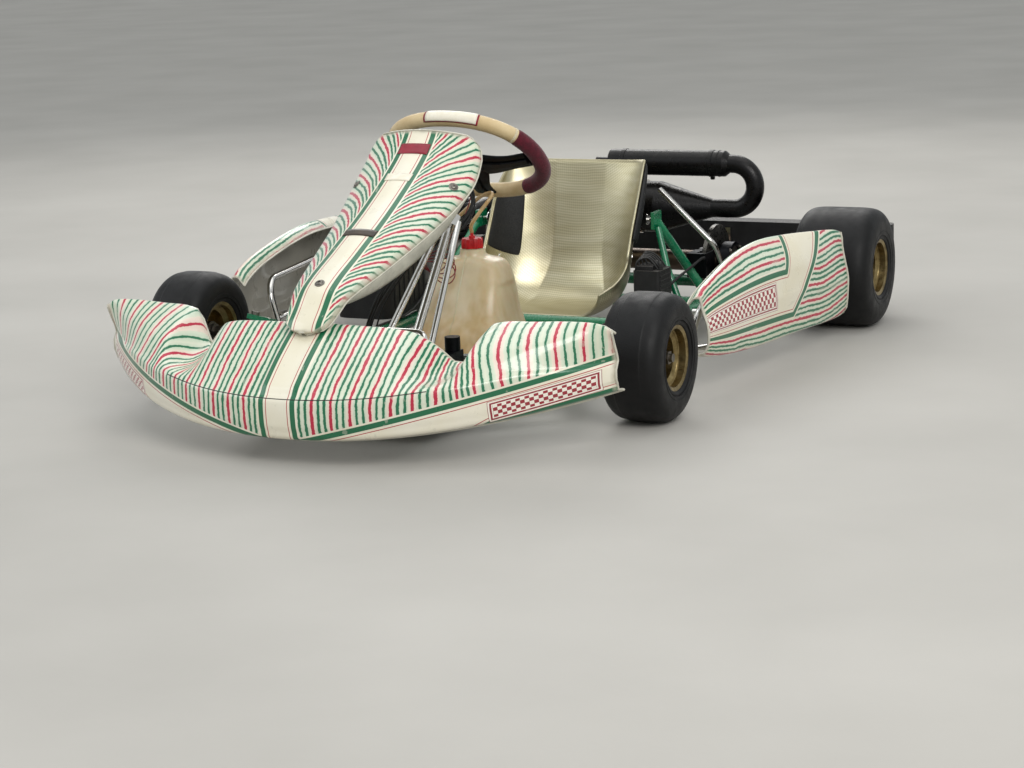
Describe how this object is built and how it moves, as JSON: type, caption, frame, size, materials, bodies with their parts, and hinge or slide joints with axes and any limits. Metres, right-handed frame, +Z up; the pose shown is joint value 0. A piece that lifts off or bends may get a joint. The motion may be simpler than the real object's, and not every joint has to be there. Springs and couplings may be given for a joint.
{
  "type": "racing kart",
  "caption": "Complete two-stroke racing kart on its wheels: tube frame, bodywork shells, seat, steering, axle, brake, engine and exhaust, with working joints.",
  "frame": {"origin": "on the ground under the middle of the overall length and width", "axes": "+Z up, nose towards -Y, driver's left towards +X"},
  "size_m": [1.4, 1.82, 0.5929],
  "materials": {
    "frame_green": "glossy green powder coat over steel tube, chipped at the clamps",
    "bright_plating": "bright plated steel bar, lightly hazed",
    "tray_alloy": "brushed sheet, scuffed by shoes",
    "livery_shell": "aged cream gloss shell with red and green wavy stripes under clear film",
    "black_plastic": "black moulded plastic with a fine grain",
    "seat_weave": "champagne woven fibre laminate under resin",
    "tank_plastic": "translucent natural plastic yellowed by fuel",
    "red_plastic": "red moulded cap",
    "hose_rubber": "black rubber hose",
    "tyre_rubber": "slick tread compound, dusty and scrubbed",
    "rim_gold": "gold-bronze coated magnesium casting",
    "wheel_leather": "cream grained leather with wine red suede grips",
    "black_alloy": "satin black coated alloy",
    "machined_alloy": "turned and milled aluminium",
    "cast_alloy": "sand-blasted casting",
    "steel": "ground steel, lightly oiled",
    "disc_iron": "brake disc with a swept, brushed face",
    "exhaust_black": "satin black heat-resistant paint",
    "engine_black": "black coated finned castings"
  },
  "bodies": {
    "chassis": {"main_frame": "frame_green", "floor_tray": "tray_alloy", "brackets_and_bolts": "bright_plating", "front_bumper": "bright_plating", "side_bumpers": "bright_plating", "rear_bumper": "black_plastic", "front_fairing": "livery_shell", "front_panel": "livery_shell", "side_pod_left": "livery_shell", "side_pod_right": "livery_shell", "seat": "seat_weave", "seat_stays": "bright_plating", "fuel_tank": "tank_plastic", "fuel_cap": "red_plastic", "hoses_and_cable": "hose_rubber", "column_support": "bright_plating", "kingpins": "steel", "bearing_carriers": "black_alloy", "axle_bearings": "steel", "brake_caliper": "black_alloy", "chain": "steel", "pedal_pivots": "steel", "master_cylinder": "black_alloy", "engine_mount": "machined_alloy", "crankcase": "cast_alloy", "cylinder_block": "engine_black", "cylinder_head": "engine_black", "spark_plug": "black_plastic", "carburettor": "cast_alloy", "intake_boot": "hose_rubber", "airbox": "black_plastic", "battery": "black_plastic", "exhaust_header": "exhaust_black", "exhaust_chamber": "exhaust_black", "exhaust_silencer": "exhaust_black"},
    "steering_wheel": {"steering_column": "bright_plating", "steering_hub": "black_alloy", "steering_spokes": "black_alloy", "steering_rim": "wheel_leather"},
    "spindle_left_body": {"spindle_left": "steel"},
    "spindle_right_body": {"spindle_right": "steel"},
    "tie_rod_left_body": {"tie_rod_left": "machined_alloy"},
    "tie_rod_right_body": {"tie_rod_right": "machined_alloy"},
    "front_wheel_left": {"front_rim_left": "rim_gold", "front_tyre_left": "tyre_rubber"},
    "front_wheel_right": {"front_rim_right": "rim_gold", "front_tyre_right": "tyre_rubber"},
    "rear_axle_set": {"rear_axle": "steel", "rear_hubs": "machined_alloy", "rear_rims": "rim_gold", "rear_tyres": "tyre_rubber", "brake_disc": "disc_iron", "sprocket": "machined_alloy", "axle_carriers": "black_alloy"},
    "crank": {"crankshaft": "steel"},
    "brake_pedal_body": {"brake_pedal": "bright_plating"},
    "throttle_pedal_body": {"throttle_pedal": "bright_plating"},
    "brake_rod_body": {"brake_rod": "steel"},
    "brake_pad_body": {"brake_pad": "disc_iron"},
    "butterfly": {"throttle_butterfly": "steel"}
  },
  "joints": [
    {"name": "steering", "type": "hinge", "parent": "chassis", "child": "steering_wheel", "pos_m": [0, -0.054, 0.48], "axis": [0, 0.6428, 0.766], "range_deg": [-40, 40]},
    {"name": "steer_left", "type": "hinge", "parent": "chassis", "child": "spindle_left_body", "pos_m": [0.395, -0.35, 0.13], "axis": [-0.1686, 0.2385, 0.9564], "range_deg": [-23.3, 23.3]},
    {"name": "tie_rod_left_pivot", "type": "hinge", "parent": "spindle_left_body", "child": "tie_rod_left_body", "pos_m": [0.372, -0.256, 0.124], "axis": [-0.1686, 0.2385, 0.9564], "range_deg": [-23.3, 23.3]},
    {"name": "front_spin_left", "type": "hinge", "parent": "spindle_left_body", "child": "front_wheel_left", "pos_m": [0.527, -0.35, 0.13], "axis": [1, 0, 0], "continuous": true},
    {"name": "steer_right", "type": "hinge", "parent": "chassis", "child": "spindle_right_body", "pos_m": [-0.395, -0.35, 0.13], "axis": [0.1686, 0.2385, 0.9564], "range_deg": [-23.3, 23.3]},
    {"name": "tie_rod_right_pivot", "type": "hinge", "parent": "spindle_right_body", "child": "tie_rod_right_body", "pos_m": [-0.372, -0.256, 0.124], "axis": [0.1686, 0.2385, 0.9564], "range_deg": [-23.3, 23.3]},
    {"name": "front_spin_right", "type": "hinge", "parent": "spindle_right_body", "child": "front_wheel_right", "pos_m": [-0.527, -0.35, 0.13], "axis": [1, 0, 0], "continuous": true},
    {"name": "rear_axle_spin", "type": "hinge", "parent": "chassis", "child": "rear_axle_set", "pos_m": [0, 0.695, 0.14], "axis": [1, 0, 0], "continuous": true},
    {"name": "crank_spin", "type": "hinge", "parent": "chassis", "child": "crank", "pos_m": [-0.235, 0.47, 0.165], "axis": [1, 0, 0], "continuous": true},
    {"name": "brake_pedal_swing", "type": "hinge", "parent": "chassis", "child": "brake_pedal_body", "pos_m": [0.092, -0.52, 0.092], "axis": [1, 0, 0], "range_deg": [0, 18]},
    {"name": "throttle_pedal_swing", "type": "hinge", "parent": "chassis", "child": "throttle_pedal_body", "pos_m": [-0.092, -0.52, 0.092], "axis": [1, 0, 0], "range_deg": [0, 25]},
    {"name": "brake_rod_pull", "type": "slide", "parent": "chassis", "child": "brake_rod_body", "axis": [0, -1, 0], "range_m": [0, 0.0083]},
    {"name": "brake_pad_press", "type": "slide", "parent": "chassis", "child": "brake_pad_body", "axis": [1, 0, 0], "range_m": [0, 0.0012]},
    {"name": "butterfly_turn", "type": "hinge", "parent": "chassis", "child": "butterfly", "pos_m": [-0.328, 0.378, 0.244], "axis": [1, 0, 0], "range_deg": [0, 71]}
  ],
  "couplings": [
    {"joint": "steer_left", "follows": "steering", "ratio": 0.58},
    {"joint": "tie_rod_left_pivot", "follows": "steering", "ratio": -0.58},
    {"joint": "steer_right", "follows": "steering", "ratio": 0.58},
    {"joint": "tie_rod_right_pivot", "follows": "steering", "ratio": -0.58},
    {"joint": "crank_spin", "follows": "rear_axle_spin", "ratio": 4.95},
    {"joint": "brake_rod_pull", "follows": "brake_pedal_swing", "m_per_rad": 0.026},
    {"joint": "brake_pad_press", "follows": "brake_pedal_swing", "m_per_rad": 0.0034},
    {"joint": "butterfly_turn", "follows": "throttle_pedal_swing", "ratio": 2.8}
  ]
}
